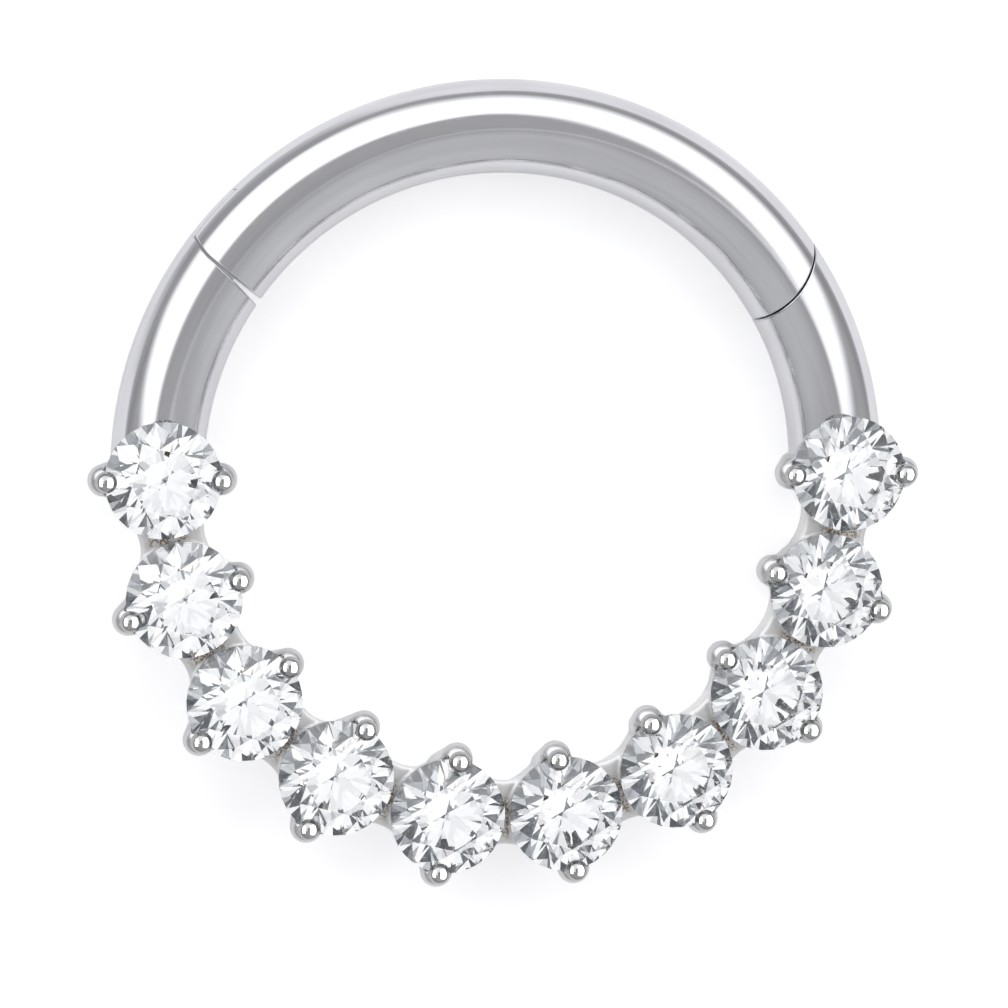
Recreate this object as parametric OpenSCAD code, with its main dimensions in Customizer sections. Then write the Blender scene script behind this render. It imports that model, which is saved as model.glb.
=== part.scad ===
// Clicker ring: a hinged ring of round wire for a healed piercing, with a row of
// round stones in claw settings along its lower half.
// It lies on its side: the floor is z = 0, the stones face +Z, the middle of the
// gate is towards +Y, and the Z axis is the ring's own axis.

/* [Ring] */
// Diameter of the opening inside the wire
inner_d = 8; // [7.8:0.1:8.4]
// Diameter of the round wire
wire_d = 1.25; // [1.2:0.01:1.29]

/* [Stones] */
// Angle from the first stone's centre to the last one's
stone_arc = 180; // [178:1:182]
// Clear space between neighbouring stones
stone_gap = 0.056; // [0.04:0.002:0.08]
// Height of the girdles above the middle of the wire
stone_rise = 0.8; // [0.78:0.01:0.84]
// Width of the table, as a share of the stone's diameter
table_share = 0.57; // [0.53:0.01:0.62]
// Slope of the crown's main facets
crown_deg = 34; // [32:0.5:36]
// Slope of the pavilion's main facets
pavilion_deg = 40.75; // [40:0.25:42]
// Turn of the facets about each stone's own axis
facet_turn = 8; // [0:1:22]

/* [Settings] */
// Width of the web between two settings, at the front
web_w = 0.92; // [0.84:0.02:1]
// Height of the web above the floor
web_h = 1.27; // [1.2:0.01:1.28]
// Radius of a setting at the back
cup_foot_r = 0.5; // [0.48:0.01:0.54]
// Radius of the open back behind each stone
back_hole_r = 0.3; // [0.2:0.01:0.34]
// Radius of a claw's shoulder
shoulder_r = 0.22; // [0.2:0.01:0.24]
// Radius of the bead at a claw's tip
bead_r = 0.145; // [0.13:0.005:0.16]

/* [Hinge] */
// Place of the hinge seam round the ring, anticlockwise from +X
hinge_deg = 144; // [140:1:148]
// Turn of the hinge seam away from the ring's radius
hinge_turn = 3.3; // [0:0.1:5]
// Distance from the hinge seam back to the pin
pin_back = 0.6; // [0.56:0.01:0.64]
// Distance of the pin outside the middle of the wire
pin_out = 0.27; // [0.24:0.01:0.28]
// Diameter of the hinge pin
pin_d = 0.24; // [0.2:0.01:0.26]
// Thickness of the tongue that turns on the pin
tongue_t = 0.32; // [0.3:0.01:0.4]
// How far the gate opens
open_deg = 70; // [50:5:75]

/* [Catch] */
// Place of the catch seam round the ring, anticlockwise from +X
catch_deg = 32.4; // [30:0.1:36]
// Radius of the gate's rounded end
end_r = 1.55; // [1.4:0.05:1.8]
// Diameter of the catch post
post_d = 0.24; // [0.2:0.01:0.28]
// Length of the catch post on each side of the seam
post_reach = 0.4; // [0.3:0.02:0.42]

/* [Hidden] */
$fn = 96;

STEEL = [0.77, 0.77, 0.79];
CRYSTAL = [0.9, 0.93, 0.97];

// Gaps: at the seams, beside the tongue, round the pin, and round what is seated
seam_gap = 0.02;
wedge_gap = 0.075;
side_gap = 0.02;
running_gap = 0.02;
socket_gap = 0.04;
seat_gap = 0.01;
press_gap = 0.004;
// Reach of a cutting block, past everything that it cuts
past = 2;

wire_r = wire_d / 2;
ring_r = inner_d / 2 + wire_r;

// Stones: one every step_deg round the ring, as wide as the pitch lets them be
stone_count = 10;
step_deg = stone_arc / (stone_count - 1);
first_deg = 270 - stone_arc / 2;
pitch = 2 * ring_r * sin(step_deg / 2);
stone_r = (pitch - stone_gap) / 2;
girdle_t = 0.03 * 2 * stone_r;
girdle_z = wire_r + stone_rise;
girdle_low = girdle_z - girdle_t / 2;
girdle_high = girdle_z + girdle_t / 2;
table_r = table_share * stone_r;
table_z = girdle_high + (stone_r - table_r) * tan(crown_deg);
culet_z = girdle_low - stone_r * tan(pavilion_deg);

// Settings: cups that narrow towards the back, with a scalloped web between them
cup_h = girdle_low - 0.1;
cup_top_r = stone_r - 0.03;
cup_taper = (cup_top_r - cup_foot_r) / cup_h;
web_bite = 0.02;
web_cup_r = cup_foot_r + cup_taper * web_h - web_bite;
scallop_r = (pow(pitch, 2) / 4 + pow(web_w, 2) / 4 - pow(web_cup_r, 2)) / (2 * web_cup_r - web_w);
scallop_x = web_w / 2 + scallop_r;
chord_r = ring_r * cos(step_deg / 2);
back_hole_h = culet_z + back_hole_r;

// Claws: a leaning post from the foot up to the shoulder, with a bead over the stone's edge
foot_r = 0.16;
foot_x = 0.5;
foot_z = 0.1;
shoulder_x = stone_r;
shoulder_z = girdle_low - 0.1;
claw_lean = atan2(shoulder_x - foot_x, shoulder_z - foot_z);
claw_len = norm([shoulder_x - foot_x, shoulder_z - foot_z]);
bead_x = stone_r - 0.01;
bead_z = girdle_z + 0.13;

// Hinge: the pin's place, and the tongue and its slot round it
hinge_axis_deg = hinge_deg - hinge_turn;
pin_r = pin_d / 2;
pin_half = 0.45;
pin_place = [
    ring_r * cos(hinge_deg) + pin_out * cos(hinge_axis_deg) + pin_back * sin(hinge_axis_deg),
    ring_r * sin(hinge_deg) + pin_out * sin(hinge_axis_deg) - pin_back * cos(hinge_axis_deg)];
tongue_r = (ring_r + wire_r - norm(pin_place)) / cos(open_deg / 2);
tongue_root = 0.3;
slot_r = tongue_r + running_gap;

// Catch: the centre of the gate's rounded end, and the line that its socket leaves along
end_x = -0.5;
end_y = -0.135 + end_r;
post_x = -0.05;
post_r = post_d / 2;
catch_place = [ring_r * cos(catch_deg), ring_r * sin(catch_deg)];
leave_deg = 90 + atan2(catch_place[1] - pin_place[1], catch_place[0] - pin_place[0]) - catch_deg;
post_y = end_y - sqrt(pow(end_r, 2) - pow(post_x - end_x, 2));

// Round wire along the ring, from one angle to another
module wire(from_deg, to_deg) {
    translate([0, 0, wire_r])
        rotate(from_deg)
            rotate_extrude(angle = to_deg - from_deg)
                translate([ring_r, 0])
                    circle(r = wire_r, $fn = 64);
}

// A place on the wire at the hinge: x runs out along the seam, y towards the body
module at_hinge() {
    translate([ring_r * cos(hinge_deg), ring_r * sin(hinge_deg), wire_r])
        rotate(hinge_axis_deg)
            children();
}

// A place on the wire at the catch: x runs outwards, y towards the gate
module at_catch() {
    translate([catch_place[0], catch_place[1], wire_r])
        rotate(catch_deg)
            children();
}

// A place at a stone's axis: x runs outwards, y along the ring
module at_stone(number) {
    rotate(first_deg + (number - 1) * step_deg)
        translate([ring_r, 0, 0])
            children();
}

// An outline raised equally above and below the middle of the wire
module through(height) {
    translate([0, 0, -height / 2])
        linear_extrude(height)
            children();
}

// A hole or shaft round the hinge pin, between two heights
module round_pin(radius, low, high) {
    at_hinge()
        translate([pin_out, -pin_back, low])
            cylinder(r = radius, h = high - low);
}

// A hole or shaft along the line that the gate's end leaves the catch on
module along_post(radius, from, to) {
    at_catch()
        translate([post_x, post_y, 0])
            rotate(leave_deg)
                rotate([0, 90, 0])
                    translate([0, 0, from])
                        cylinder(r = radius, h = to - from);
}

// The tongue's outline, round at the pin, or with other sizes the outline of its slot
module tongue_outline(radius, high) {
    translate([pin_out, -pin_back])
        circle(r = radius);
    translate([pin_out - radius, -pin_back])
        square([past, pin_back + high]);
}

// What lies beyond the gate at the hinge
module beyond_gate_hinge() {
    at_hinge()
        through(2 * past)
            difference() {
                polygon([[-past, 0], [pin_out, 0], [pin_out, -pin_back], [past, -pin_back],
                    [past, past], [-past, past]]);
                translate([pin_out, -pin_back])
                    circle(r = pin_back);
            }
}

// What lies beyond the body at the hinge: the seam opens towards the ring's inside
module beyond_body_hinge() {
    wedge = wedge_gap / (pin_out + wire_r);
    at_hinge()
        through(2 * past) {
            polygon([[-past, seam_gap + (past + pin_out) * wedge], [pin_out, seam_gap],
                [pin_out, -pin_back], [past, -pin_back], [past, -past], [-past, -past]]);
            translate([pin_out, -pin_back])
                circle(r = pin_back + seam_gap);
        }
}

// The gate's rounded end at the catch, or with a gap the hollow that it closes into
module gate_end(gap) {
    translate([end_x, end_y])
        circle(r = end_r + gap);
}

// One web between two neighbouring settings, scalloped on both sides
module web() {
    difference() {
        linear_extrude(web_h)
            polygon([[scallop_x, 0], [0, pitch / 2], [-scallop_x, 0], [0, -pitch / 2]]);
        for (side = [-1, 1])
            translate([side * scallop_x, 0, 0])
                cylinder(r1 = scallop_r + cup_taper * web_h, r2 = scallop_r, h = web_h);
    }
}

// One claw: its leaning post, which grows out of the cup, its shoulder and its bead
module claw() {
    translate([foot_x, 0, foot_z])
        rotate([0, claw_lean, 0])
            cylinder(r1 = foot_r, r2 = shoulder_r, h = claw_len);
    translate([shoulder_x, 0, shoulder_z])
        sphere(r = shoulder_r);
    translate([bead_x, 0, bead_z])
        sphere(r = bead_r);
}

// One setting: a tapered cup and its two claws
module setting() {
    cylinder(r1 = cup_foot_r, r2 = cup_top_r, h = cup_h);
    claw();
    mirror([1, 0, 0])
        claw();
}

// The seat that a stone is pushed into, and the open back behind it
module seat() {
    rotate_extrude()
        polygon([[0, culet_z - seat_gap], [stone_r + seat_gap, girdle_low], [stone_r + seat_gap, girdle_high],
            [table_r + seat_gap, table_z], [0, table_z]]);
    translate([0, 0, -past])
        cylinder(r = back_hole_r, h = past + back_hole_h);
}

// The wire's end at the hinge, with the tongue that the gate turns on
module hinge_end() {
    difference() {
        wire(hinge_deg - 10, first_deg);
        beyond_body_hinge();
    }
    difference() {
        intersection() {
            wire(hinge_deg - 18, hinge_deg + 10);
            at_hinge()
                through(tongue_t)
                    tongue_outline(tongue_r, tongue_root);
        }
        round_pin(pin_r + running_gap, -past, past);
    }
}

// The wire's end at the catch, hollowed for the gate's end and bored for the post
module catch_end() {
    difference() {
        wire(first_deg + stone_arc - 360, catch_deg + 8);
        at_catch()
            through(2 * past) {
                gate_end(seam_gap);
                translate([-past, end_y])
                    square(2 * past);
            }
        along_post(post_r + press_gap, -post_reach - press_gap, past);
    }
}

// The body of the ring: both wire ends and the row of settings, one casting
module ring_body() {
    color(STEEL)
        difference() {
            union() {
                hinge_end();
                catch_end();
                for (number = [1:stone_count])
                    at_stone(number)
                        setting();
                for (number = [1:stone_count - 1])
                    rotate(first_deg + (number - 0.5) * step_deg)
                        translate([chord_r, 0, 0])
                            web();
            }
            for (number = [1:stone_count])
                at_stone(number)
                    seat();
        }
}

// The gate: the wire that goes through the piercing, forked at the hinge
module gate() {
    color(STEEL)
        difference() {
            wire(catch_deg - 6, hinge_deg + 5);
            beyond_gate_hinge();
            at_catch()
                through(2 * past)
                    difference() {
                        translate([-past, end_y - 2 * past])
                            square(2 * past);
                        gate_end(0);
                    }
            at_hinge()
                through(tongue_t + 2 * side_gap)
                    tongue_outline(slot_r, past);
            round_pin(pin_r + press_gap, -past, pin_half + press_gap);
            along_post(post_r + socket_gap, -past, post_reach + socket_gap);
        }
}

// The hinge pin: pressed in from the back and dressed flush with the wire
module hinge_pin() {
    color(STEEL)
        intersection() {
            round_pin(pin_r, -past, pin_half);
            wire(hinge_deg - 18, hinge_deg + 2);
        }
}

// The catch post: pressed into the body's end, inside the seam
module click_post() {
    color(STEEL)
        along_post(post_r, -post_reach, post_reach);
}

// A round brilliant, facet by facet. Ring of points at one radius and height:
function ring_points(count, turn, radius, z) =
    [for (i = [0:count - 1]) let (a = turn + i * 360 / count) [radius * cos(a), radius * sin(a), z]];
// Height of a main facet at a point at half a facet's turn from its middle
function main_height(radius, slope) = (stone_r - radius * cos(22.5)) * tan(slope);
// How far a girdle facet falls from its corners to the round of the girdle between them
function scallop_fall(radius, rise) =
    rise * (1 - cos(11.25)) * stone_r / (stone_r * cos(11.25) - radius * cos(11.25));

module stone(number) {
    star_r = (stone_r + table_r * cos(22.5)) / 2;
    star_rise = main_height(star_r, crown_deg);
    keel_r = 0.23 * stone_r;
    keel_drop = main_height(keel_r, pavilion_deg);
    top_fall = scallop_fall(star_r, star_rise);
    low_fall = scallop_fall(keel_r, keel_drop);
    points = concat(
        ring_points(8, 0, table_r, table_z),
        ring_points(8, 22.5, star_r, girdle_high + star_rise),
        [for (i = [0:31]) let (a = i * 11.25)
            [stone_r * cos(a), stone_r * sin(a), girdle_high - (i % 2) * top_fall]],
        [for (i = [0:31]) let (a = i * 11.25)
            [stone_r * cos(a), stone_r * sin(a), girdle_low + (i % 2) * low_fall]],
        ring_points(8, 22.5, keel_r, girdle_low - keel_drop),
        [[0, 0, culet_z]]);
    star = 8;
    top = 16;
    low = 48;
    keel = 80;
    culet = 88;
    faces = concat(
        [[for (i = [7:-1:0]) i]],
        [for (i = [0:7]) [i, (i + 1) % 8, star + i]],
        [for (i = [0:7]) [i, star + i, top + 4 * i, star + (i + 7) % 8]],
        [for (i = [0:7]) [star + i, top + 4 * i + 2, top + 4 * i + 1, top + 4 * i]],
        [for (i = [0:7]) [star + i, top + (4 * i + 4) % 32, top + 4 * i + 3, top + 4 * i + 2]],
        [for (i = [0:31]) [top + i, top + (i + 1) % 32, low + (i + 1) % 32, low + i]],
        [for (i = [0:7]) [keel + i, low + 4 * i, low + 4 * i + 1, low + 4 * i + 2]],
        [for (i = [0:7]) [keel + i, low + 4 * i + 2, low + 4 * i + 3, low + (4 * i + 4) % 32]],
        [for (i = [0:7]) [culet, keel + (i + 7) % 8, low + 4 * i, keel + i]]);
    angle = first_deg + (number - 1) * step_deg;
    color(CRYSTAL)
        translate([ring_r * cos(angle), ring_r * sin(angle), 0])
            rotate(facet_turn)
                polyhedron(points, faces);
}

ring_body();
gate();
hinge_pin();
click_post();
stone(1);  // stone_01
stone(2);  // stone_02
stone(3);  // stone_03
stone(4);  // stone_04
stone(5);  // stone_05
stone(6);  // stone_06
stone(7);  // stone_07
stone(8);  // stone_08
stone(9);  // stone_09
stone(10);  // stone_10
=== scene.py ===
"""A clicker ring: hinged round wire with a row of claw-set brilliants, lying flat on its back."""

import math

import bmesh
import bpy
import numpy as np
from mathutils import Matrix, Vector


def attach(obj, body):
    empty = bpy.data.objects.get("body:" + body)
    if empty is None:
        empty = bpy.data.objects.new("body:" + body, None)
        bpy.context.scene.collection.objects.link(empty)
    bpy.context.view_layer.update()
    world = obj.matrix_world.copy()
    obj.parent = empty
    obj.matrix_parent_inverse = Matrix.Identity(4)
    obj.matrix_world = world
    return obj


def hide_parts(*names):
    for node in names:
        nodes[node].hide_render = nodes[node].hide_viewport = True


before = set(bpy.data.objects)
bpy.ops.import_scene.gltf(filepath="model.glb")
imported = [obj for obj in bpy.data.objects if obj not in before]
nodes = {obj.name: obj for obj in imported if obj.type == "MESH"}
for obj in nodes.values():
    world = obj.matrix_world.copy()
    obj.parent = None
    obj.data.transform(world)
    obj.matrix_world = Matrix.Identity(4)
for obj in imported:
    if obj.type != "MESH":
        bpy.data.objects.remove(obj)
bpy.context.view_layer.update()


# The polished steel
# Surgical steel, cast for the row of settings and drawn for the wire, then ground and buffed along its
# length. A mirror polish keeps faint lines along the wire, a few hairline scratches and soft hazy patches.
class Worked:
    """A value in a node tree. Plain arithmetic on it adds the Math nodes."""

    def __init__(self, tree, socket=None):
        self.tree = tree
        self.socket = socket

    def node(self, kind, settings, sockets, out=0):
        """Adds any other node and gives its output, or several where out is a tuple of their names."""
        made = self.tree.nodes.new(kind)
        for name, value in settings.items():
            setattr(made, name, value)
        for name, value in sockets.items():
            for one in value if isinstance(value, list) else [value]:
                if isinstance(one, Worked):
                    self.tree.links.new(one.socket, made.inputs[name])
                else:
                    made.inputs[name].default_value = one
        if isinstance(out, tuple):
            return [Worked(self.tree, made.outputs[name]) for name in out]
        return Worked(self.tree, made.outputs[out] if made.outputs else None)

    def sum_with(self, operation, *others):
        """A Math node of that operation, on this value and any others."""
        values = dict(enumerate((self,) + others))
        return self.node("ShaderNodeMath", {"operation": operation}, values)

    def __add__(self, other):
        return self.sum_with("ADD", other)

    __radd__ = __add__

    def __mul__(self, other):
        return self.sum_with("MULTIPLY", other)

    __rmul__ = __mul__

    def __sub__(self, other):
        return self.sum_with("SUBTRACT", other)

    def __rsub__(self, other):
        return self.node("ShaderNodeMath", {"operation": "SUBTRACT"}, {0: other, 1: self})

    def __truediv__(self, other):
        return self.sum_with("DIVIDE", other)

    def rise(self, low, high):
        """0 below low, 1 above high, smooth between them."""
        ends = {"Value": self, "From Min": low, "From Max": high}
        return self.node("ShaderNodeMapRange", {"interpolation_type": "SMOOTHSTEP"}, ends)

    def colour_between(self, first, second):
        """The first colour where the value is 0, the second where it is 1."""
        return self.node("ShaderNodeMix", {"data_type": "RGBA"}, {"Factor": self, "A": first, "B": second}, 2)

    def three_values(self):
        return self.node("ShaderNodeSeparateXYZ", {}, {0: self}, ("X", "Y", "Z"))


def new_material(name):
    material = bpy.data.materials.new(name)
    material.use_nodes = True
    material.node_tree.nodes.clear()
    return material, Worked(material.node_tree)


def surfaced(start, values):
    """Ends a material with its shader."""
    surface = start.node("ShaderNodeBsdfPrincipled", {}, values)
    start.node("ShaderNodeOutputMaterial", {}, {"Surface": surface})


def in_millimetres(start):
    """Object coordinates as three values in millimetres."""
    place = start.node("ShaderNodeTexCoord", {}, {}, "Object")
    return [value * 1000 for value in place.three_values()]


def patches(start, across, detail, *place):
    """Noise about as wide as across, read at a place given as three values."""
    at = start.node("ShaderNodeCombineXYZ", {}, dict(enumerate(place)))
    return start.node("ShaderNodeTexNoise", {}, {"Vector": at, "Scale": 1 / across, "Detail": detail})


wire_per_radian = 4.6
dented_inside = (4.1, 4.35)
drawn_steel, start = new_material("drawn_steel")
x, y, z = in_millimetres(start)
turn = y.sum_with("ARCTAN2", x) * wire_per_radian
reach = (x * x + y * y).sum_with("SQRT")
lines = patches(start, 0.06, 3, turn * 0.02, reach, z)
streaks = patches(start, 0.16, 2, turn * 0.04, reach, z)
hairlines = patches(start, 0.02, 2, turn * 0.06, reach + z * 0.4, z)
haze = patches(start, 0.8, 2, x, y, z)
grain = patches(start, 0.09, 4, x, y, z)
dents = patches(start, 0.5, 2, x, y, z) * (1 - reach.rise(*dented_inside))
tone = haze.rise(0.3, 0.75) * 0.35 + streaks.rise(0.35, 0.65) * 0.65
colour = tone.colour_between((0.80, 0.80, 0.82, 1), (0.71, 0.71, 0.735, 1))
scratch = hairlines.rise(0.66, 0.72)
roughness = 0.055 + haze * 0.05 + grain * 0.03 + scratch * 0.06
height = lines * 0.5 + streaks * 1.4 + grain * 0.2 - scratch * 0.2 + dents * 9
worn = start.node("ShaderNodeBump", {}, {"Height": height, "Strength": 0.5, "Distance": 1.2e-6})
surfaced(start, {"Base Color": colour, "Roughness": roughness, "Normal": worn, "Metallic": 1.0})

# The wire
# Round wire bent to a ring round the opening. Two short ends belong to the body and are soldered into the
# first and last settings. Each end at a seam is shaped to its neighbour, and a small bevel breaks its edge.
to_metres = 0.001
wire_r = 0.625
ring_r = 4.625
seam_gap = 0.02
crease_deg = 35
true_to_wire = 0.0015
never_zero = 1e-9


def placed(place_deg, turn_deg, across, along):
    """A point given from the wire's middle at one place, out along a line at that turn, then square to it."""
    place, turn = math.radians(place_deg), math.radians(turn_deg)
    return (ring_r * math.cos(place) + across * math.cos(turn) - along * math.sin(turn),
            ring_r * math.sin(place) + across * math.sin(turn) + along * math.cos(turn))


def seam(place_deg, turn_deg, outline):
    """The angle at which a seam with that outline crosses each distance from the ring's axis."""
    x, y = placed(place_deg, turn_deg, *np.array(outline).T)
    out, angle = np.hypot(x, y), np.arctan2(y, x)
    order = np.argsort(out)
    return lambda r, z: np.interp(r, out[order], angle[order])


def cut_square(at_deg):
    """A plain cut straight across the wire."""
    return lambda r, z: r * 0 + math.radians(at_deg)


def new_piece(name, points, faces):
    mesh = bpy.data.meshes.new(name)
    mesh.from_pydata(np.array(points, float).tolist(), [], faces)
    mesh.update()
    piece = bpy.data.objects.new(name, mesh)
    bpy.context.scene.collection.objects.link(piece)
    return piece


def band(low, high, sides):
    """The faces between two rings of points, from the number of each ring's first point."""
    return [(low + i, low + (i + 1) % sides, high + (i + 1) % sides, high + i) for i in range(sides)]


def bent_wire(name, start, stop, bevel=0.022, sides=128, rows=150):
    """Wire between two seams, closed at both ends, in millimetres."""
    round_off = np.radians(np.linspace(0, 90, 5))
    inward = np.linspace(1, 0, 9)[1:-1]
    body = [(1.0, t, 0.0) for t in np.linspace(0, 1, rows)[1:-1]]
    lead = [((wire_r - bevel) / wire_r * s, 0, 0.0) for s in inward[::-1]]
    lead += [((wire_r - bevel * (1 - math.cos(a))) / wire_r, 0, bevel * (1 - math.sin(a)))
             for a in round_off[::-1]]
    tail = [(s, 1, -push) for s, _, push in lead[::-1]]
    spin = np.linspace(2 * math.pi, 0, sides, endpoint=False)
    points = []
    for share, t, push in [(0.0, 0, 0.0)] + lead + body + tail + [(0.0, 1, 0.0)]:
        turn = spin[:1] if share == 0 else spin
        r = ring_r + share * wire_r * np.cos(turn)
        height = wire_r + share * wire_r * np.sin(turn)
        angle = start(r, height) * (1 - t) + stop(r, height) * t + push / r
        points += np.stack([r * np.cos(angle), r * np.sin(angle), height], 1).tolist()
    last = len(points) - 1
    faces = [(0, 1 + (i + 1) % sides, 1 + i) for i in range(sides)]
    for low in range(1, last - sides, sides):
        faces += band(low, low + sides, sides)
    low = last - sides
    faces += [(low + i, low + (i + 1) % sides, last) for i in range(sides)]
    return new_piece(name, points, faces)


def plain_mesh(piece, modifier):
    """Replaces the piece's mesh by what its modifier makes of it."""
    seen = piece.evaluated_get(bpy.context.evaluated_depsgraph_get())
    made = bpy.data.meshes.new_from_object(seen)
    piece.modifiers.remove(modifier)
    piece.data = made


def work(piece, operation, tool):
    """Cuts the piece with a tool, joins the tool to it, or keeps what both hold."""
    step = piece.modifiers.new("work", "BOOLEAN")
    step.operation = operation
    step.solver = "EXACT"
    step.object = tool
    plain_mesh(piece, step)
    bpy.data.objects.remove(tool)


def block(outline, low, high):
    """A straight-sided block with that outline, given anticlockwise, from low to high."""
    count = len(outline)
    points = [(x, y, low) for x, y in outline] + [(x, y, high) for x, y in outline]
    faces = [tuple(range(count - 1, -1, -1)), tuple(range(count, 2 * count))]
    return new_piece("tool", points, faces + band(0, count, count))


def arc(centre, radius, from_deg, to_deg, steps):
    turn = np.radians(np.linspace(from_deg, to_deg, steps))
    return [(centre[0] + radius * math.cos(a), centre[1] + radius * math.sin(a)) for a in turn]


def circle(centre, radius, sides):
    return arc(centre, radius, 0, 360 - 360 / sides, sides)


def points_of(mesh):
    place = np.zeros(len(mesh.vertices) * 3)
    mesh.vertices.foreach_get("co", place)
    return place.reshape(-1, 3)


def settled(piece, material):
    """Brings a worked piece to metres and shades it, with the round wire's own normals where it shows."""
    mesh = piece.data
    form = bmesh.new()
    form.from_mesh(mesh)
    midway = [point for point in form.verts if len(point.link_edges) == 2]
    bmesh.ops.dissolve_verts(form, verts=midway)
    form.to_mesh(mesh)
    form.free()
    mesh.transform(Matrix.Scale(to_metres, 4))
    mesh.materials.clear()
    mesh.materials.append(material)
    mesh.shade_smooth()
    mesh.set_sharp_from_angle(angle=math.radians(crease_deg))
    mesh.update()
    place = points_of(mesh) / to_metres
    flat = np.hypot(place[:, 0], place[:, 1])
    hub = place * (ring_r / np.maximum(flat, never_zero))[:, None]
    hub[:, 2] = wire_r
    out = place - hub
    far = np.linalg.norm(out, axis=1)
    out /= np.maximum(far, never_zero)[:, None]
    on_wire = np.abs(far - wire_r) < true_to_wire
    corner = np.zeros(len(mesh.loops), np.int32)
    mesh.loops.foreach_get("vertex_index", corner)
    facing = np.zeros(len(mesh.polygons) * 3)
    mesh.polygons.foreach_get("normal", facing)
    sizes = np.zeros(len(mesh.polygons), np.int32)
    mesh.polygons.foreach_get("loop_total", sizes)
    facing = np.repeat(facing.reshape(-1, 3), sizes, axis=0)
    outwards = (facing * out[corner]).sum(1) > 0.9
    keep = on_wire[corner] & outwards
    mesh.normals_split_custom_set(np.where(keep[:, None], out[corner], 0.0).tolist())


# The gate
# The plain length of wire that goes through the piercing, 16 gauge surgical steel. It is slotted at the
# hinge for the body's tongue, and rounded at the catch, with a bore for the post that holds it shut.
hinge_deg = 144
hinge_axis_deg = hinge_deg - 3.3
pin_back = 0.6
pin_out = 0.27
pin_r = 0.12
pin_top = 0.45
pin_fit = 0.004
slot_half = 0.18
tongue_play = 0.006
tongue_meets_deg = 35
catch_deg = 32.4
end_r = 1.55
end_centre = (-0.5, end_r - 0.135)
post_reach = 0.4
post_across = -0.05
socket_r = 0.16
socket_play = 0.04
well_clear = 2


def hinge_place(across, along):
    """A point given from the hinge seam's middle, out along the seam and then towards the body."""
    return placed(hinge_deg, hinge_axis_deg, across, along)


def knuckle(gap, opening):
    """The hinge seam: straight from the inside of the ring, then rounded about the pin."""
    line = [(x, gap + (pin_out - x) * opening) for x in np.linspace(-1, pin_out, 40)]
    return seam(hinge_deg, hinge_axis_deg, line + arc((pin_out, -pin_back), pin_back + gap, 89, 45, 40))


def rounded_end(gap):
    return seam(catch_deg, catch_deg, arc(end_centre, end_r + gap, 250, 320, 120))


pin_place = hinge_place(pin_out, -pin_back)
pin_reach = math.hypot(*pin_place)
tongue_r = (ring_r + wire_r - pin_reach) / math.cos(math.radians(tongue_meets_deg))
slot_r = tongue_r + tongue_play


def rounded_block(radius, tip, half):
    """The tongue's form, or the slot's: round about the pin, and from there straight towards the body."""
    stem = [(well_clear, -pin_back), (well_clear, tip), (pin_out - radius, tip)]
    outline = stem + arc((pin_out, -pin_back), radius, 180, 360, 96)
    return block([hinge_place(*point) for point in outline], wire_r - half, wire_r + half)


def rod(radius, low, high):
    """A round tool or shaft about the hinge pin's line."""
    return block(circle(pin_place, radius, 96), wire_r + low, wire_r + high)


gate = bent_wire("gate_wire", rounded_end(0), knuckle(0, 0), rows=260)
work(gate, "DIFFERENCE", rounded_block(slot_r, well_clear, slot_half))
work(gate, "DIFFERENCE", rod(pin_r + pin_fit, -well_clear, pin_top + pin_fit))
catch = math.radians(catch_deg)
from_pin = (ring_r * math.cos(catch) - pin_place[0], ring_r * math.sin(catch) - pin_place[1])
leave = math.atan2(from_pin[1], from_pin[0]) + math.pi / 2
post_along = end_centre[1] - math.sqrt(end_r ** 2 - (post_across - end_centre[0]) ** 2)
post_place = Matrix.Rotation(catch, 4, "Z") @ Vector((ring_r + post_across, post_along, wire_r))
socket = block(circle((0, 0), socket_r, 48), -well_clear, post_reach + socket_play)
socket.data.transform(
    Matrix.Translation(post_place) @ Matrix.Rotation(leave, 4, "Z") @ Matrix.Rotation(math.pi / 2, 4, "Y"))
work(gate, "DIFFERENCE", socket)
settled(gate, drawn_steel)
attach(gate, "gate")
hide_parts("gate")

# The hinge pin
# A short steel shaft pressed into the gate from the back and dressed flush with the wire, so that only a
# fine round line shows there. The body's tongue turns on it.
blank_from_deg = 126
pin_blank_to_deg = 150
pin = bent_wire("hinge_pin_shaft", cut_square(blank_from_deg), cut_square(pin_blank_to_deg))
work(pin, "INTERSECT", rod(pin_r, -well_clear, pin_top))
settled(pin, drawn_steel)
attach(pin, "gate")
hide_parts("hinge_pin")

# The body's two ends
# The hinge end carries the tongue, milled to about 0.35 mm and bored for the pin. The catch end is hollowed
# to the gate's rounded end. Both are soldered into the outermost settings.
root_r = 0.42
root_taper = 0.2
hinge_opening = 0.075 / (pin_out + wire_r)
tongue_blank_to_deg = 154
tongue_root = 0.3
bore_play = 0.02


def cup_wall(r, z):
    """How far round from the outermost setting's middle the wire's root reaches, in radians."""
    across = (r * r + ring_r ** 2 - (root_r + root_taper * z) ** 2) / (2 * r * ring_r)
    return np.arccos(np.minimum(across, 1))


hinge_end = bent_wire(
    "hinge_end", knuckle(seam_gap, hinge_opening), lambda r, z: math.pi - cup_wall(r, z))
tongue = bent_wire("tongue", cut_square(blank_from_deg), cut_square(tongue_blank_to_deg))
work(tongue, "INTERSECT", rounded_block(tongue_r, tongue_root, slot_half - tongue_play))
work(hinge_end, "UNION", tongue)
work(hinge_end, "DIFFERENCE", rod(pin_r + bore_play, -well_clear, well_clear))
catch_end = bent_wire("catch_end", cup_wall, rounded_end(seam_gap))
for piece in (hinge_end, catch_end):
    settled(piece, drawn_steel)
    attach(piece, "ring")
    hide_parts("ring_body")

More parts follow.
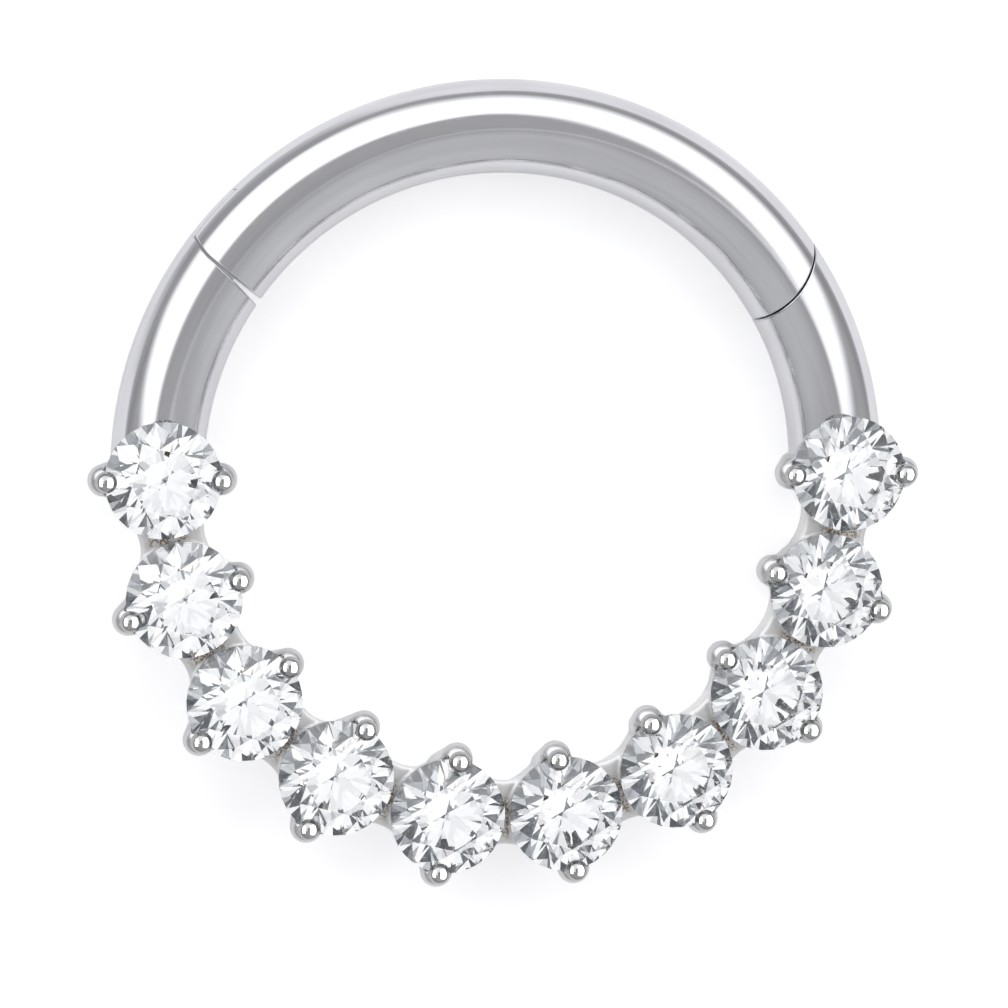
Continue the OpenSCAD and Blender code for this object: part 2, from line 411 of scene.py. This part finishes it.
# The catch post
# A plain round post of the same drawn steel, pressed into the body at the catch. It is hidden inside the
# seam while the ring is shut.
post = nodes["click_post"]
post.data.materials.clear()
post.data.materials.append(drawn_steel)

# The row of settings
# One steel casting: tapered cups, open at the back, each with two leaning claws, and a scalloped web between
# neighbours. Casting rounds its inner corners, and the edges of the webs are eased by tumbling.
stone_count = 10
pitches_round = 18
step = math.radians(20)
first_turn = math.pi
stone_r = 0.775
seat_play = 0.01
girdle = (1.4018, 1.4483)
table = (0.4418, 1.6728)
culet_z = 0.734
crown_slope = (table[1] - girdle[1]) / (stone_r - table[0])
web_w = 0.9
web_h = 1.27
web_into_cup = 0.02
cup_h = 1.3
cup_foot_r = 0.47
cup_top_r = 0.745
back_hole_r = 0.3
back_hole_reach = 0.3
claw_foot = (0.49, 0.12, 0.15)
claw_shoulder = (0.775, 1.30, 0.215)
rim_ease = 0.03
web_ease = 0.09
web_root_ease = 0.05
claw_root_ease = 0.08
seat_ease = 0.02
foot_ease = 0.05
half_step_squared = 0.0305
polished_cone = (0.62, 0.11)

cast_steel, start = new_material("cast_steel")
x, y, z = in_millimetres(start)
tumbled = patches(start, 0.35, 3, x, y, z)
pitted = patches(start, 0.05, 3, x, y, z)
angle = (y.sum_with("ARCTAN2", x) * (pitches_round / (2 * math.pi)) + 0.5).sum_with("FRACT")
aside = (angle * 2 - 1).sum_with("ABSOLUTE")
between = aside.rise(0.5, 0.75)
reach = (x * x + y * y).sum_with("SQRT")
off_row = reach - ring_r
deep = aside.rise(0.9, 0.97) * (1 - off_row.sum_with("ABSOLUTE").rise(0.15, 0.35)) * z.rise(0.9, 1.2)
from_axis = (aside * aside * (reach * reach * half_step_squared) + off_row * off_row).sum_with("SQRT")
seat = 1 - (from_axis - z * polished_cone[0] + polished_cone[1]).rise(-0.02, 0.02)
flecks = deep * patches(start, 0.03, 2, x, y, z).rise(0.46, 0.56)
# The webs between the cups are painted paler than the cups, a painted highlight, and are also rougher. Inside
# the seat cone under each stone the steel is paler and smoother.
paler = between * 0.8 + tumbled * 0.3 + seat * 2
plain = paler.colour_between((0.68, 0.68, 0.685, 1), (0.93, 0.925, 0.92, 1))
colour = flecks.colour_between(plain, (0.36, 0.25, 0.14, 1))
roughness = 0.17 + tumbled * 0.12 + pitted * 0.06 + between * 0.3 - seat * 0.1
skin = start.node("ShaderNodeBump", {}, {
    "Height": tumbled + pitted * 0.25, "Strength": 0.5, "Distance": 2.5e-6})
surfaced(start, {"Base Color": colour, "Roughness": roughness, "Normal": skin, "Metallic": 1.0})


def eased_union(a, b, ease):
    return np.minimum(a, b) - np.maximum(ease - np.abs(a - b), 0) ** 2 / (4 * ease)


def eased_cut(a, b, ease):
    return -eased_union(-a, -b, ease)


def casting(x, y, z, web_before, web_after):
    """How far a point lies outside one setting's metal, below 0 inside. The stone is on the x axis."""
    out = np.hypot(x - ring_r, y)
    taper = (cup_top_r - cup_foot_r) / cup_h
    metal = eased_cut(out - cup_foot_r - taper * z, z - cup_h, rim_ease)
    pitch = 2 * ring_r * math.sin(step / 2)
    web_cup = cup_foot_r + taper * web_h - web_into_cup
    scallop = (pitch ** 2 / 4 + web_w ** 2 / 4 - web_cup ** 2) / (2 * web_cup - web_w)
    centre = web_w / 2 + scallop
    for side, there in ((-1, web_before), (1, web_after)):
        across = x * math.cos(step / 2) + side * y * math.sin(step / 2) - ring_r * math.cos(step / 2)
        along = y * math.cos(step / 2) - side * x * math.sin(step / 2)
        hollow = scallop + taper * (web_h - z) - np.hypot(np.abs(across) - centre, along)
        diamond = (np.abs(across) / centre + np.abs(along) / (pitch / 2) - 1) * 0.5
        web = eased_cut(np.maximum(hollow, diamond), z - web_h, web_ease)
        metal = np.where(there, eased_union(metal, web, web_root_ease), metal)
    foot, shoulder = np.array(claw_foot), np.array(claw_shoulder)
    reach = shoulder[:2] - foot[:2]
    off = np.abs(x - ring_r) - foot[0]
    up = z - foot[1]
    share = np.clip((off * reach[0] + up * reach[1]) / (reach @ reach), 0, 1)
    claw = np.sqrt((off - share * reach[0]) ** 2 + (up - share * reach[1]) ** 2 + y ** 2)
    claw -= foot[2] + share * (shoulder[2] - foot[2])
    metal = eased_union(metal, claw, claw_root_ease)
    rise = (girdle[0] - culet_z) / stone_r
    pavilion = (out - (z - culet_z + seat_play) / rise) * rise / math.hypot(1, rise)
    crown = (z - girdle[1] - (stone_r + seat_play - out) * crown_slope) / math.hypot(1, crown_slope)
    seat = np.maximum(np.maximum(pavilion, out - stone_r - seat_play), crown)
    back = np.maximum(out - back_hole_r, z - culet_z - back_hole_reach)
    metal = eased_cut(metal, -np.minimum(seat, back), seat_ease)
    return eased_cut(metal, -z, foot_ease)


def lean(x, y, z, *webs):
    """The direction in which the casting's surface faces."""
    near = 1e-4
    slopes = [casting(x + near, y, z, *webs) - casting(x - near, y, z, *webs),
              casting(x, y + near, z, *webs) - casting(x, y - near, z, *webs),
              casting(x, y, z + near, *webs) - casting(x, y, z - near, *webs)]
    return np.stack(slopes, -1) / (2 * near)


def turned(points, angle):
    c, s = np.cos(angle), np.sin(angle)
    x, y, z = points[..., 0], points[..., 1], points[..., 2]
    return np.stack([x * c - y * s, x * s + y * c, z], -1)


def cast_setting(name, web_before, web_after, next_column=None):
    """One setting's surface between the planes midway to its neighbours, with points that meet theirs."""
    reach = np.linspace(3.56, 5.69, 65)
    spread = np.linspace(-step / 2, step / 2, 47)
    levels = ((-0.04, 0.12, 6), (0.2, 0.84, 9), (0.9, 1.56, 21))
    height = np.concatenate([np.linspace(low, high, rows) for low, high, rows in levels])
    least_slope = 0.2
    longest_move = 0.03
    r, a, z = np.meshgrid(reach, spread, height, indexing="ij")
    metal = casting(r * np.cos(a), r * np.sin(a), z, web_before, web_after) < 0
    count = sum(metal[i:i + len(reach) - 1, j:j + len(spread) - 1, k:k + len(height) - 1].astype(int)
                for i in (0, 1) for j in (0, 1) for k in (0, 1))
    cells = (count > 0) & (count < 8)
    i, j, k = np.nonzero(cells)
    r = (reach[i] + reach[i + 1]) / 2
    a = (spread[j] + spread[j + 1]) / 2
    points = np.stack([r * np.cos(a), r * np.sin(a), (height[k] + height[k + 1]) / 2], -1)
    for _ in range(6):
        slope = lean(*points.T, web_before, web_after)
        far = casting(*points.T, web_before, web_after)
        pull = slope * (far / np.maximum((slope ** 2).sum(-1), least_slope))[:, None]
        length = np.maximum(np.linalg.norm(pull, axis=1), never_zero)
        points -= pull * np.minimum(1, longest_move / length)[:, None]
    number = np.full((cells.shape[0], cells.shape[1] + 1, cells.shape[2]), -1)
    number[i, j, k] = np.arange(len(points))
    column = {(p, q): points[n] for p, s, q, n in zip(i, j, k, range(len(points))) if s == 0}
    for (p, q), place in (next_column or column).items():
        number[p, -1, q] = len(points)
        points = np.vstack([points, turned(place, step)])
    faces = []
    last = cells.shape[1]
    for axis in range(3):
        others = [n for n in range(3) if n != axis]
        solid = np.moveaxis(metal, [axis] + others, [0, 1, 2])
        cell = np.moveaxis(number, [axis] + others, [0, 1, 2])
        change = solid[1:] != solid[:-1]
        u, v, w = np.nonzero(change)
        keep = (v > 0) & (w > 0) & (v < cell.shape[1]) & (w < cell.shape[2])
        if axis == 1:
            keep &= u < last
        u, v, w = u[keep], v[keep], w[keep]
        ring = np.stack([cell[u, v - 1, w - 1], cell[u, v, w - 1], cell[u, v, w], cell[u, v - 1, w]], -1)
        flip = solid[u, v, w] ^ (axis == 1)
        ring[~flip] = ring[~flip][:, ::-1]
        faces += ring[(ring >= 0).all(1)].tolist()
    return new_piece(name, points, faces), column


middle, shared = cast_setting("setting", True, True)
opening, _ = cast_setting("first_setting", False, True, shared)
closing, _ = cast_setting("last_setting", True, False)


def new_tree(name, inputs):
    """A geometry tree with the inputs that are named, and the group's own ends."""
    tree = bpy.data.node_groups.new(name, "GeometryNodeTree")
    tree.interface.new_socket("Geometry", in_out="INPUT", socket_type="NodeSocketGeometry")
    for label, kind in inputs:
        tree.interface.new_socket(label, in_out="INPUT", socket_type="NodeSocket" + kind)
    tree.interface.new_socket("Geometry", in_out="OUTPUT", socket_type="NodeSocketGeometry")
    labels = ("Geometry",) + tuple(label for label, _ in inputs)
    return tree, dict(zip(labels, Worked(tree).node("NodeGroupInput", {}, {}, labels)))


def grown(piece, tree, values):
    """Runs a geometry tree on the piece, with its inputs set, and keeps the result as a plain mesh."""
    growth = piece.modifiers.new(tree.name, "NODES")
    growth.node_group = tree
    for item in tree.interface.items_tree:
        if item.item_type == "SOCKET" and item.in_out == "INPUT" and item.name in values:
            growth[item.identifier] = values[item.name]
    plain_mesh(piece, growth)


def finished(shape, metal):
    """Ends a tree: real geometry, smooth, in its material."""
    real = shape.node("GeometryNodeRealizeInstances", {}, {"Geometry": shape})
    welded = real.node("GeometryNodeMergeByDistance", {}, {"Geometry": real, "Distance": 0.0005})
    smooth = welded.node("GeometryNodeSetShadeSmooth", {}, {0: welded})
    coated = smooth.node("GeometryNodeSetMaterial", {}, {"Geometry": smooth, "Material": metal})
    smooth.node("NodeGroupOutput", {}, {"Geometry": coated})


tree, given = new_tree("row_of_settings", [
    ("First", "Object"), ("Last", "Object"), ("Settings", "Int"), ("First turn", "Float"), ("Step", "Float"),
    ("Metal", "Material")])
begin = given["Geometry"]
number = begin.node("GeometryNodeInputIndex", {}, {})
spots = begin.node("GeometryNodePoints", {}, {"Count": given["Settings"] - 2})
turn = begin.node("ShaderNodeCombineXYZ", {}, {"Z": given["First turn"] + (number + 1) * given["Step"]})
row = begin.node("GeometryNodeInstanceOnPoints", {}, {"Points": spots, "Instance": begin, "Rotation": turn})
ends = []
for label, steps in (("First", 0), ("Last", 1)):
    one = begin.node("GeometryNodeObjectInfo", {}, {"Object": given[label]}, "Geometry")
    angle = given["First turn"] + steps * (given["Settings"] - 1) * given["Step"]
    spun = begin.node("ShaderNodeCombineXYZ", {}, {"Z": angle})
    ends.append(begin.node("GeometryNodeTransform", {}, {"Geometry": one, "Rotation": spun}))
finished(begin.node("GeometryNodeJoinGeometry", {}, {0: [row] + ends}), given["Metal"])
grown(middle, tree, {
    "First": opening, "Last": closing, "Settings": stone_count, "First turn": first_turn, "Step": step,
    "Metal": cast_steel})
for piece in (opening, closing):
    bpy.data.objects.remove(piece)
gallery = middle
gallery.name = "settings_row"
place = points_of(gallery.data)
past_first = (np.arctan2(place[:, 1], place[:, 0]) - first_turn) % (2 * math.pi)
nearest = np.round(past_first / step) % pitches_round
own = first_turn + nearest * step
local = turned(place, -own)
facing = lean(*local.T, nearest > 0, nearest < stone_count - 1)
facing = turned(facing / np.maximum(np.linalg.norm(facing, axis=1), never_zero)[:, None], own)
gallery.data.transform(Matrix.Scale(to_metres, 4))
gallery.data.update()
gallery.data.normals_split_custom_set_from_vertices(facing.tolist())
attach(gallery, "ring")
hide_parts("ring_body")

# The beads
# The tip of each claw, pushed over the stone's edge and rounded to a bright bead with a cup burnisher. Its
# underside is pressed flat against the stone's crown.
bead_r = 0.145
bead_out = stone_r - 0.01
bead_z = sum(girdle) / 2 + 0.13
bead_lean = math.radians(34)
bead_crease_deg = 40
press_sides = 192
press_tip_r = 0.05
# The bead steel is painted darker than the wire's: painted shade that dims the tent's reflection in the
# beads, so that the lamps' two spots stand out.
burnished_steel_painted_dark, start = new_material("burnished_steel_painted_dark")
x, y, z = in_millimetres(start)
rubbed = patches(start, 0.06, 3, x, y, z)
colour = rubbed.rise(0.3, 0.7).colour_between((0.55, 0.55, 0.545, 1), (0.46, 0.46, 0.455, 1))
surfaced(start, {"Base Color": colour, "Roughness": 0.03 + rubbed * 0.05, "Metallic": 1.0})
tree, given = new_tree("beads", [
    ("Stones", "Int"), ("First turn", "Float"), ("Step", "Float"), ("Ring radius", "Float"),
    ("Bead radius", "Float"), ("Metal", "Material")])
begin = given["Geometry"]
number = begin.node("GeometryNodeInputIndex", {}, {})
ball = begin.node("GeometryNodeMeshUVSphere", {}, {
    "Segments": 40, "Rings": 24, "Radius": given["Bead radius"]})
ball = begin.node("GeometryNodeTransform", {}, {
    "Geometry": ball, "Translation": (bead_out, 0, bead_z), "Rotation": (0, bead_lean, 0)})
pressed = begin.node("GeometryNodeMeshBoolean", {"operation": "DIFFERENCE"}, {0: ball, 1: begin})
half = number / 2
stone = half.sum_with("FLOOR")
about = given["First turn"] + stone * given["Step"]
spots = begin.node("GeometryNodePoints", {}, {
    "Count": given["Stones"] * 2,
    "Position": begin.node("ShaderNodeCombineXYZ", {}, {
        "X": about.sum_with("COSINE") * given["Ring radius"],
        "Y": about.sum_with("SINE") * given["Ring radius"]})})
facing_out = begin.node("ShaderNodeCombineXYZ", {}, {"Z": about + (half - stone) * 2 * math.pi})
row = begin.node("GeometryNodeInstanceOnPoints", {}, {
    "Points": spots, "Instance": pressed, "Rotation": facing_out})
finished(row, given["Metal"])
press_out = stone_r + seat_play
press_top = girdle[1] + (press_out - press_tip_r) * crown_slope
outline = [(press_tip_r, girdle[0]), (press_out, girdle[0]), (press_out, girdle[1]), (press_tip_r, press_top)]
spin = np.linspace(0, 2 * math.pi, press_sides, endpoint=False)
points = [(r * math.cos(a), r * math.sin(a), z) for r, z in outline for a in spin]
faces = []
for low in range(0, 3 * press_sides, press_sides):
    faces += band(low, low + press_sides, press_sides)
faces += [tuple(range(press_sides - 1, -1, -1)), tuple(range(3 * press_sides, 4 * press_sides))]
beads = new_piece("claw_beads", points, faces)
grown(beads, tree, {
    "Stones": stone_count, "First turn": first_turn, "Step": step, "Ring radius": ring_r,
    "Bead radius": bead_r, "Metal": burnished_steel_painted_dark})
beads.data.transform(Matrix.Scale(to_metres, 4))
beads.data.set_sharp_from_angle(angle=math.radians(bead_crease_deg))
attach(beads, "ring")

# The stones
# Round brilliants of clear cubic zirconia, 1.55 mm across, cut and polished facet by facet. Each is pushed
# down into its cup and held by two claws. Their facets all point the same way.
under_table = (table[1] - 0.004, table[1] - 0.0003)
crystal, start = new_material("clear_crystal")
x, y, z = in_millimetres(start)
uneven_shade = patches(start, 1.6, 2, x, y, z)
# The crown facets, between the girdle and the table, are painted grey, unevenly: painted shade that outlines
# the bright table.
crown_shade_mask = z.rise(*girdle) * (1 - z.rise(*under_table))
colour = (crown_shade_mask * (0.9 + uneven_shade * 0.2)).colour_between((1, 1, 1, 1), (0.58, 0.588, 0.598, 1))
surfaced(start, {"Base Color": colour, "Roughness": 0.0, "IOR": 2.16, "Transmission Weight": 1.0})
for number in range(1, stone_count + 1):
    brilliant = nodes["stone_%02d" % number]
    brilliant.data.materials.clear()
    brilliant.data.materials.append(crystal)

# The floor
# A round sheet of pale paper that the ring lies on. To the lens it glows, so that the ring's shadow on it
# stays faint. To the steel it is dimmer, and dark further out.
floor_r = 0.3
floor_sides = 96
under_ring = -0.000002
paper, start = new_material("floor_paper")
x, y, z = in_millimetres(start)
fibre = patches(start, 3, 3, x, y, z)
to_lens = start.node("ShaderNodeLightPath", {}, {}, "Is Camera Ray")
off = (x * x + y * y).sum_with("SQRT")
corner = (0 - x).sum_with("MAXIMUM", 0.0) * y.sum_with("MAXIMUM", 0.0) / (off * off) * off.rise(5.9, 6.7)
far = (off + (x * y / off).sum_with("ABSOLUTE") * 0.5 + corner * 12).rise(10, 17) * (1 - to_lens)
tone = (fibre * 0.3 + far * 0.7).colour_between((0.93, 0.93, 0.935, 1), (0.22, 0.22, 0.23, 1))
to_steel = far.colour_between((0.18, 0.18, 0.185, 1), (0.05, 0.05, 0.052, 1))
glow = to_lens.colour_between(to_steel, (0.47, 0.47, 0.475, 1))
surfaced(start, {"Base Color": tone, "Roughness": 0.9, "Emission Color": glow, "Emission Strength": 1.0})
spin = np.linspace(0, 2 * math.pi, floor_sides, endpoint=False)
edge = [(floor_r * math.cos(a), floor_r * math.sin(a), under_ring) for a in spin]
floor = new_piece("floor", edge, [tuple(range(floor_sides))])
floor.data.materials.append(paper)

# The tent
# Grey cloth round the ring. The steel sees a broad white panel in it that arches over from side to side. The
# light that the stones let through comes from a white disc overhead, with slats round it, two grey cards and
# a small warm one. To the lens the tent is plain white.
world = bpy.data.worlds.new("studio")
world.use_nodes = True
world.node_tree.nodes.clear()
start = Worked(world.node_tree)
x, y, z = start.node("ShaderNodeTexCoord", {}, {}, "Generated").three_values()
from_top = z.sum_with("ARCCOSINE") * (180 / math.pi)


def off_from(at_x, at_y):
    return ((x - at_x) * (x - at_x) + (y - at_y) * (y - at_y)).sum_with("SQRT")


def card(at_x, at_y, radius, edge):
    """A round card overhead, full inside its radius and gone at its edge."""
    return 1 - off_from(at_x, at_y).rise(radius, edge)


wider = x.rise(0, 0.15) * y.rise(0.28, 0.45) * 0.06 + card(0.38, 0.15, 0.12, 0.28) * 0.045
hood = (off_from(-0.05, 0.16) - wider).rise(0.30, 0.43)
level = off_from(0, 0)
level_y = y / level
level_x = x / level
low_side = (0.42 - level_y).sum_with("MAXIMUM", 0.0) * (42 + x.rise(-0.2, 0.2) * 20)
high_side = level_y.sum_with("MAXIMUM", 0.0) * (10 + (0 - level_x).sum_with("MAXIMUM", 0.0) * 27)
panel = hood * (1 - (from_top + low_side - high_side).rise(57, 81)) * y.rise(-0.16, -0.08)
tent = 0.43 + (0 - y).rise(0.05, 0.4) * 0.14 + (x - y).rise(0.7, 1.3) * 0.08 - from_top.rise(68, 90) * 0.1
round_ring = tent + panel * 1.1
overhead = z.rise(0, 0.1)
disc = off_from(0.08, -0.07)
discs = 1.5 - disc.rise(0.22, 0.26) * 0.2 - disc.rise(0.50, 0.56) * 1.12 - disc.rise(0.66, 0.70) * 0.14
grey_cards = card(-0.28, 0.24, 0.12, 0.16) * 0.4 + card(0.3, -0.1, 0.10, 0.14) * 0.25
warm_card = card(0.5, -0.45, 0.07, 0.10) * overhead
wedges = (y.sum_with("ARCTAN2", x) * 9 + 0.6).sum_with("SINE").rise(0.2, 0.45) * disc.rise(0.52, 0.56)
slats = wedges * (0.85 - disc.rise(0.76, 0.80) * 0.3)
into_stones = ((discs - grey_cards + slats) * overhead + 0.08) * (1 - warm_card) + warm_card * 0.7
seen = start.node("ShaderNodeLightPath", {}, {}, "Is Camera Ray")
through = start.node("ShaderNodeLightPath", {}, {}, "Is Transmission Ray")
strength = round_ring * (1 - seen) * (1 - through) + into_stones * through + seen * (1 - through)
cool = ((1.1 - into_stones) * through).colour_between((0.98, 0.985, 1, 1), (0.77, 0.88, 1, 1))
tint = (warm_card * through).colour_between(cool, (1, 0.84, 0.66, 1))
surround = start.node("ShaderNodeBackground", {}, {"Color": tint, "Strength": strength})
start.node("ShaderNodeOutputWorld", {}, {"Surface": surround})
bpy.context.scene.world = world

# The lamps on the beads
# Two soft square-edged lamps, a large one on the right and a small one on the left, that light only the
# beads, so that each bead has its two bright spots.
lamp_distance = 0.045
beads_only = bpy.data.collections.new("beads_only")
beads_only.objects.link(beads)
for name, tilt_deg, wide, high in (("right_panel", 40, 0.065, 0.11), ("left_panel", -64, 0.028, 0.06)):
    light = bpy.data.lights.new(name, "AREA")
    light.shape = "RECTANGLE"
    light.size = wide
    light.size_y = high
    light.energy = 4 * math.pi * wide * high
    lamp = bpy.data.objects.new(name, light)
    lean_over = Matrix.Rotation(math.radians(tilt_deg), 4, "Y")
    lamp.matrix_world = lean_over @ Matrix.Translation((0, 0, lamp_distance))
    lamp.visible_camera = False
    lamp.light_linking.receiver_collection = beads_only
    bpy.context.scene.collection.objects.link(lamp)

# The camera
# It looks down on the ring as the photograph does, from a little to the left of straight above and a little
# towards the gate. Light may turn many times inside a brilliant before it leaves, so its bounces are raised.
raised, swung, rolled = math.radians(6.568), math.radians(-10.119), math.radians(0.585)
distance = 0.063758
aim_right, aim_down = 0.0529, 0.4529
back = Vector((math.sin(swung) * math.cos(raised), math.sin(raised), math.cos(swung) * math.cos(raised)))
level = Vector((0, 1, 0)).cross(back).normalized()
upright = back.cross(level)
right = level * math.cos(rolled) + upright * math.sin(rolled)
upwards = upright * math.cos(rolled) - level * math.sin(rolled)
centre = Vector((0, 0, wire_r * to_metres))
aim = centre + (right * aim_right - upwards * aim_down) * to_metres
eye = centre + back * distance
away = (eye - aim).normalized()
side = upwards.cross(away).normalized()
over = away.cross(side)
camera = bpy.data.objects.new("camera", bpy.data.cameras.new("camera"))
camera.data.lens = 169.3
camera.data.sensor_width = 36
camera.data.clip_start = 0.001
camera.data.clip_end = 10
camera.matrix_world = Matrix.Translation(eye) @ Matrix((side, over, away)).transposed().to_4x4()
bpy.context.scene.collection.objects.link(camera)
bpy.context.scene.camera = camera
bpy.context.scene.view_settings.view_transform = "Standard"
bpy.context.scene.cycles.glossy_bounces = 12
bpy.context.scene.cycles.transmission_bounces = 16
bpy.context.scene.cycles.max_bounces = 20
